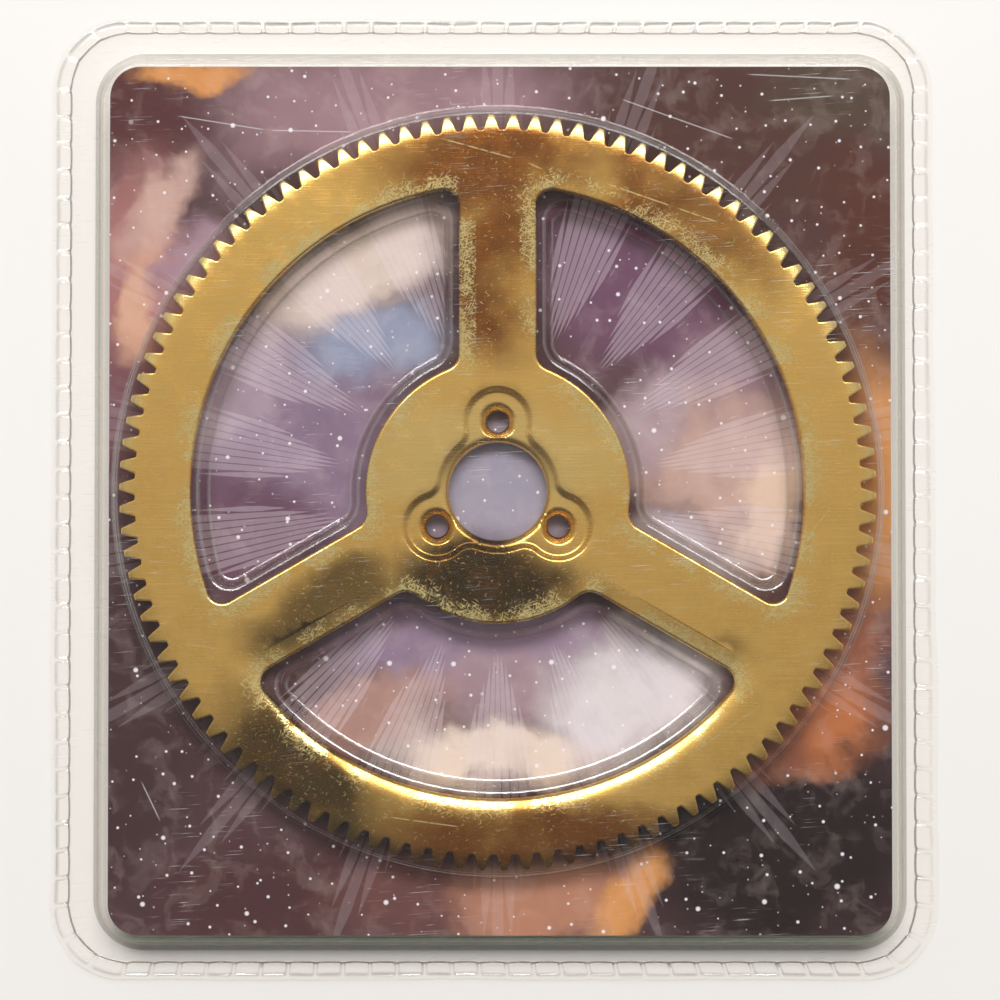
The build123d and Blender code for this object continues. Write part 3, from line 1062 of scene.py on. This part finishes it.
def clear_material(name, scuffed):
    """Thin clear sheet: see-through face on, mirror-like edge on. scuffed is the marks' strength."""
    material = bpy.data.materials.new(name)
    shader = Shader(material)
    weight = shader.node("ShaderNodeLayerWeight", {"Blend": 0.5})
    facing = Term(shader, weight.outputs["Facing"])
    place = shader.place()
    _, y, height = shader.split(place)
    _, facing_y, upright = shader.split(shader.node("ShaderNodeTexCoord").outputs["Normal"])

    # Bends are tinted darker as painted shade for the light they bend away, most of all along
    # the seal, and the tray's wall at -Y is tinted darker as painted shade
    tilted = 1 - abs(upright)
    bend = tilted.step(0.01, 0.09) * tilted.step(0.62, 0.35)
    tint = shader.mix(facing.power(3.0), tone(255, 255, 255), tone(253, 250, 245))
    foot = abs(facing_y).step(0.5, 0.9) * y.step(-38.0, -42.0)
    tint = shader.mix(foot, tint, tone(231, 234, 227))
    at_seal = height.step(FLANGE_TOP + 0.15, FLANGE_TOP + 0.05)
    tint = shader.mix(bend * (at_seal * 0.4 + 0.03), tint, tone(120, 112, 92))
    through = shader.node("ShaderNodeBsdfTransparent", {"Color": tint})
    gloss = shader.node("ShaderNodeBsdfGlossy", {"Color": (1, 1, 1, 1), "Roughness": 0.04})
    mirror = facing.power(5.0) * 0.6 + bend * 0.12 + 0.014
    sheet = shader.layered(mirror, through.outputs[0], gloss.outputs[0])

    # Rubbed marks catch the light as a faint haze
    marks = shader.streaks(place, 0.06, 4.5, 0.13).step(0.66, 0.8)
    where = shader.noise(place, 16.0, 1.0).step(0.42, 0.7)
    lines = highest(shader.line(place, *ends, SHEET_SCRATCH_WIDTH) for ends in SHEET_SCRATCHES)
    marks = (marks * where).most(lines)
    dull = shader.node("ShaderNodeBsdfDiffuse", {"Color": tone(240, 240, 240)})
    seen = shader.layered(marks * scuffed + 0.003, sheet, dull.outputs[0])

    # Flat sheet hardly dims the light that falls through it; the dome's walls do
    steep = tilted.step(0.05, 0.3) * height.step(-0.1, 0.3)
    passed = shader.mix(steep * 0.6, tone(253, 252, 251), tone(120, 116, 112))
    lit = shader.node("ShaderNodeBsdfTransparent", {"Color": passed})
    to_lamp = shader.node("ShaderNodeLightPath").outputs["Is Shadow Ray"]
    shader.finish(shader.layered(to_lamp, seen, lit.outputs[0]))
    return material


# ---------------------------------------------------------------- pieces
def mark_edges(piece):
    """Stores each point's distance from the nearest window edge in millimetres, for the wear."""
    loops = np.concatenate([gear_window(spoke) for spoke in SPOKES])
    places = np.array([v.co[:2] for v in piece.data.vertices]) / MM
    distance = np.empty(len(places), np.float32)
    batch = 2000
    for first in range(0, len(places), batch):
        part = places[first : first + batch]
        gaps = np.linalg.norm(part[:, None] - loops[None], axis=2)
        distance[first : first + batch] = gaps.min(axis=1)
    edge = piece.data.attributes.new("edge", "FLOAT", "POINT")
    edge.data.foreach_set("value", distance)


gear = make_gear()
mark_edges(gear)
gear.data.materials.append(brass_material())
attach(gear, "gear")
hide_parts("gear_wheel")

front_shell = make_front_shell()
front_shell.data.materials.append(clear_material("clear_front_sheet", 0.25))
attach(front_shell, "front_shell")
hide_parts("front_blister")

rear_shell = make_rear_shell()
rear_shell.data.materials.append(clear_material("clear_rear_sheet", 0.12))
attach(rear_shell, "rear_shell")
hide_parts("rear_blister")

card = frame["nodes"]["backing_card"]
card.material_slots[0].material = card_material()


# ---------------------------------------------------------------- floor, light, camera
# These are in metres
FLOOR_REACH = 1.5
FLOOR_HEIGHT = (rear_low.z - 0.02) * MM
CAMERA_TARGET = Vector((0.26, -1.0, GEAR_THICKNESS)) * MM
CAMERA_DISTANCE = 0.3
CAMERA_TILT = radians(-1.2)
DIM_GREY = (0.09, 0.09, 0.09, 1)
SOFT_WHITE = (0.56, 0.55, 0.54, 1)


def make_floor():
    mesh = bpy.data.meshes.new("floor")
    corners = [(-1, -1), (1, -1), (1, 1), (-1, 1)]
    points = [(x * FLOOR_REACH, y * FLOOR_REACH, FLOOR_HEIGHT) for x, y in corners]
    mesh.from_pydata(points, [], [(0, 1, 2, 3)])
    floor = add_object("floor", mesh)
    material = bpy.data.materials.new("pale_floor")
    shader = Shader(material)
    patchy = shader.noise(shader.place(), 60.0, 3.0)
    colour = shader.mix(patchy, tone(247, 245, 242), tone(243, 240, 236))
    surface = shader.node("ShaderNodeBsdfPrincipled", {"Base Color": colour, "Roughness": 0.8})
    shader.finish(surface.outputs[0])
    mesh.materials.append(material)


def make_light(name, direction, distance, width, height, power):
    """A soft light that points at the origin, its width across and its height upright."""
    lamp = bpy.data.lights.new(name, "AREA")
    lamp.shape = "RECTANGLE"
    lamp.size = width
    lamp.size_y = height
    lamp.energy = power
    holder = add_object(name, lamp)
    away = Vector(direction).normalized()
    across = Vector((0, 0, 1)).cross(away).normalized()
    turn = Matrix((across, away.cross(across), away)).transposed().to_4x4()
    holder.matrix_world = Matrix.Translation(away * distance) @ turn


def make_world():
    """Soft surroundings: bright at +Y and the sides, dim at -Y."""
    world = bpy.data.worlds.new("studio")
    bpy.context.scene.world = world
    shader = Shader(world)
    direction = shader.node("ShaderNodeTexCoord").outputs["Generated"]
    _, y, _ = shader.split(direction)
    colour = shader.mix(y.step(-0.75, 0.1), DIM_GREY, SOFT_WHITE)
    sky = shader.node("ShaderNodeBackground", {"Color": colour, "Strength": 1.0})
    shader.node("ShaderNodeOutputWorld", {"Surface": sky.outputs[0]})


def make_camera():
    data = bpy.data.cameras.new("camera")
    data.sensor_width = 36.0
    data.lens = 94.8
    holder = add_object("camera", data)
    away = Vector((0, sin(CAMERA_TILT), cos(CAMERA_TILT)))
    holder.location = CAMERA_TARGET + away * CAMERA_DISTANCE
    holder.rotation_euler = (-CAMERA_TILT, 0, 0)
    bpy.context.scene.camera = holder


make_floor()
make_world()
make_light("key", direction=(0, 0.55, 0.835), distance=1.0, width=0.9, height=0.3, power=8.2)
make_camera()
bpy.context.scene.view_settings.view_transform = "Standard"
# Light under the tray's edge passes four sheet walls on its way in and four on its way out
bpy.context.scene.cycles.transparent_max_bounces = 24
